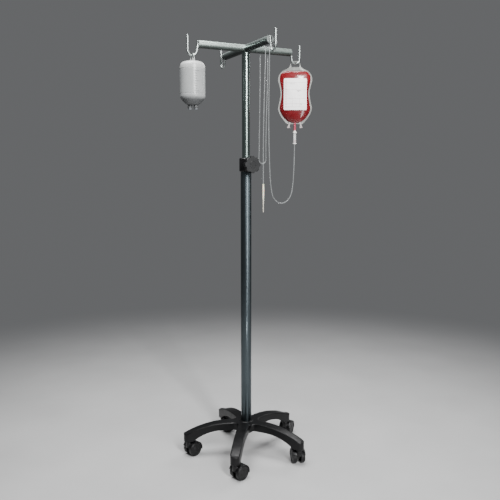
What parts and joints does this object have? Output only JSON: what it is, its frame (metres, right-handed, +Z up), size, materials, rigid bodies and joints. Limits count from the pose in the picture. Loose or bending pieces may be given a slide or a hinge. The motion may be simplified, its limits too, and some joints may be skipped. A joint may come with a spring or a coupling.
{
  "type": "intravenous drip stand",
  "caption": "Rolling drip stand: telescopic pole on a star base with twin-wheel casters, clamp knob, cross arms with hooks, a hung infusion bottle and a blood bag with its giving set.",
  "frame": {"origin": "on the floor, on the axis of the pole", "axes": "+Z up the pole; the arms lie along X and Y; the clamp knob faces -Y; the bag hangs at +X and the bottle at -X"},
  "size_m": [0.4931, 0.4536, 1.485],
  "materials": {
    "base_plastic": "semi-gloss moulded black nylon",
    "black_plastic": "moulded black plastic",
    "knob_plastic": "dark grey moulded plastic",
    "caster_plastic": "moulded black plastic",
    "wheel_plastic": "black polyamide with a matt tread",
    "satin_steel": "satin stainless steel",
    "chrome": "polished chrome plate",
    "bright_steel": "zinc plated steel",
    "brass": "turned brass",
    "nylon": "natural nylon",
    "bail_wire": "pale moulded plastic",
    "bottle_plastic": "translucent polyethylene",
    "infusion_fluid": "clear fluid",
    "stopper_rubber": "grey rubber",
    "bag_film": "clear soft PVC film",
    "blood": "deep red fluid",
    "label_paper": "coated paper",
    "spike_plastic": "clear plastic holding blood",
    "clear_plastic": "clear rigid plastic",
    "white_plastic": "white moulded plastic",
    "tubing": "clear soft PVC tube",
    "latex": "natural latex"
  },
  "bodies": {
    "base": {"star_base": "base_plastic", "base_washer": "bright_steel", "base_bolt": "bright_steel", "tube_end_plug": "bright_steel", "lower_tube": "satin_steel", "guide_bush": "nylon", "collar_body": "black_plastic", "threaded_insert": "brass"},
    "pad": {"pressure_pad": "nylon"},
    "knob": {"knob_body": "knob_plastic", "knob_cap": "knob_plastic", "knob_stud": "bright_steel"},
    "mast": {"upper_tube": "chrome", "slider_bush": "nylon", "head_plug": "bright_steel", "arm_right": "chrome", "arm_back": "chrome", "arm_left": "chrome", "arm_front": "chrome", "hook_right": "chrome", "hook_back": "chrome", "hook_left": "chrome", "hook_front": "chrome", "tubing_arm_side": "tubing", "flash_bulb": "latex", "needle_sheath": "clear_plastic"},
    "bail": {"bottle_bail": "bail_wire"},
    "bottle": {"bottle_shell": "bottle_plastic", "bottle_fluid": "infusion_fluid", "bottle_stoppers": "stopper_rubber"},
    "bag": {"bag_film": "bag_film", "bag_blood": "blood", "bag_label": "label_paper", "bag_ports": "bag_film", "bag_spike_port": "bag_film", "spike": "spike_plastic", "drip_chamber": "clear_plastic", "drip_chamber_caps": "white_plastic", "tubing_bag_side": "tubing"},
    "caster_1": {"caster_1_hood": "caster_plastic", "caster_1_stem_axle": "bright_steel"},
    "wheel_1_left": {"caster_1_wheel_left": "wheel_plastic"},
    "wheel_1_right": {"caster_1_wheel_right": "wheel_plastic"},
    "caster_2": {"caster_2_hood": "caster_plastic", "caster_2_stem_axle": "bright_steel"},
    "wheel_2_left": {"caster_2_wheel_left": "wheel_plastic"},
    "wheel_2_right": {"caster_2_wheel_right": "wheel_plastic"},
    "caster_3": {"caster_3_hood": "caster_plastic", "caster_3_stem_axle": "bright_steel"},
    "wheel_3_left": {"caster_3_wheel_left": "wheel_plastic"},
    "wheel_3_right": {"caster_3_wheel_right": "wheel_plastic"},
    "caster_4": {"caster_4_hood": "caster_plastic", "caster_4_stem_axle": "bright_steel"},
    "wheel_4_left": {"caster_4_wheel_left": "wheel_plastic"},
    "wheel_4_right": {"caster_4_wheel_right": "wheel_plastic"},
    "caster_5": {"caster_5_hood": "caster_plastic", "caster_5_stem_axle": "bright_steel"},
    "wheel_5_left": {"caster_5_wheel_left": "wheel_plastic"},
    "wheel_5_right": {"caster_5_wheel_right": "wheel_plastic"}
  },
  "joints": [
    {"name": "clamp_press", "type": "slide", "parent": "base", "child": "pad", "axis": [0, -1, 0], "range_m": [0, 0.0025]},
    {"name": "knob_turn", "type": "hinge", "parent": "pad", "child": "knob", "pos_m": [0, -0.046, 1.063], "axis": [0, -1, 0], "range_deg": [0, 720]},
    {"name": "mast_slide", "type": "slide", "parent": "base", "child": "mast", "axis": [0, 0, 1], "range_m": [-0.34, 0.4]},
    {"name": "bail_swing", "type": "hinge", "parent": "mast", "child": "bail", "pos_m": [-0.1965, 0, 1.4195], "axis": [1, 0, 0], "range_deg": [-30, 30]},
    {"name": "bottle_tilt", "type": "hinge", "parent": "bail", "child": "bottle", "pos_m": [-0.1965, 0, 1.407], "axis": [0, 1, 0], "range_deg": [-20, 20]},
    {"name": "bag_swing", "type": "hinge", "parent": "mast", "child": "bag", "pos_m": [0.1965, 0, 1.4195], "axis": [1, 0, 0], "range_deg": [-10, 10]},
    {"name": "caster_1_swivel", "type": "hinge", "parent": "base", "child": "caster_1", "pos_m": [0, 0.214, 0.06], "axis": [0, 0, 1], "continuous": true},
    {"name": "wheel_1_left_roll", "type": "hinge", "parent": "caster_1", "child": "wheel_1_left", "pos_m": [0.01785, 0.2075, 0.025], "axis": [0.342, 0.9397, 0], "continuous": true},
    {"name": "wheel_1_right_roll", "type": "hinge", "parent": "caster_1", "child": "wheel_1_right", "pos_m": [0.01785, 0.2075, 0.025], "axis": [0.342, 0.9397, 0], "continuous": true},
    {"name": "caster_2_swivel", "type": "hinge", "parent": "base", "child": "caster_2", "pos_m": [-0.20353, 0.06613, 0.06], "axis": [0, 0, 1], "continuous": true},
    {"name": "wheel_2_left_roll", "type": "hinge", "parent": "caster_2", "child": "wheel_2_left", "pos_m": [-0.18553, 0.07222, 0.025], "axis": [-0.3206, 0.9472, 0], "continuous": true},
    {"name": "wheel_2_right_roll", "type": "hinge", "parent": "caster_2", "child": "wheel_2_right", "pos_m": [-0.18553, 0.07222, 0.025], "axis": [-0.3206, 0.9472, 0], "continuous": true},
    {"name": "caster_3_swivel", "type": "hinge", "parent": "base", "child": "caster_3", "pos_m": [-0.12579, -0.17313, 0.06], "axis": [0, 0, 1], "continuous": true},
    {"name": "wheel_3_left_roll", "type": "hinge", "parent": "caster_3", "child": "wheel_3_left", "pos_m": [-0.10779, -0.16704, 0.025], "axis": [-0.3206, 0.9472, 0], "continuous": true},
    {"name": "wheel_3_right_roll", "type": "hinge", "parent": "caster_3", "child": "wheel_3_right", "pos_m": [-0.10779, -0.16704, 0.025], "axis": [-0.3206, 0.9472, 0], "continuous": true},
    {"name": "caster_4_swivel", "type": "hinge", "parent": "base", "child": "caster_4", "pos_m": [0.12579, -0.17313, 0.06], "axis": [0, 0, 1], "continuous": true},
    {"name": "wheel_4_left_roll", "type": "hinge", "parent": "caster_4", "child": "wheel_4_left", "pos_m": [0.1307, -0.15478, 0.025], "axis": [-0.9659, 0.2588, 0], "continuous": true},
    {"name": "wheel_4_right_roll", "type": "hinge", "parent": "caster_4", "child": "wheel_4_right", "pos_m": [0.1307, -0.15478, 0.025], "axis": [-0.9659, 0.2588, 0], "continuous": true},
    {"name": "caster_5_swivel", "type": "hinge", "parent": "base", "child": "caster_5", "pos_m": [0.20353, 0.06613, 0.06], "axis": [0, 0, 1], "continuous": true},
    {"name": "wheel_5_left_roll", "type": "hinge", "parent": "caster_5", "child": "wheel_5_left", "pos_m": [0.21808, 0.07834, 0.025], "axis": [-0.6428, 0.766, 0], "continuous": true},
    {"name": "wheel_5_right_roll", "type": "hinge", "parent": "caster_5", "child": "wheel_5_right", "pos_m": [0.21808, 0.07834, 0.025], "axis": [-0.6428, 0.766, 0], "continuous": true}
  ],
  "couplings": [
    {"joint": "clamp_press", "follows": "knob_turn", "m_per_rad": 0.00019894}
  ]
}
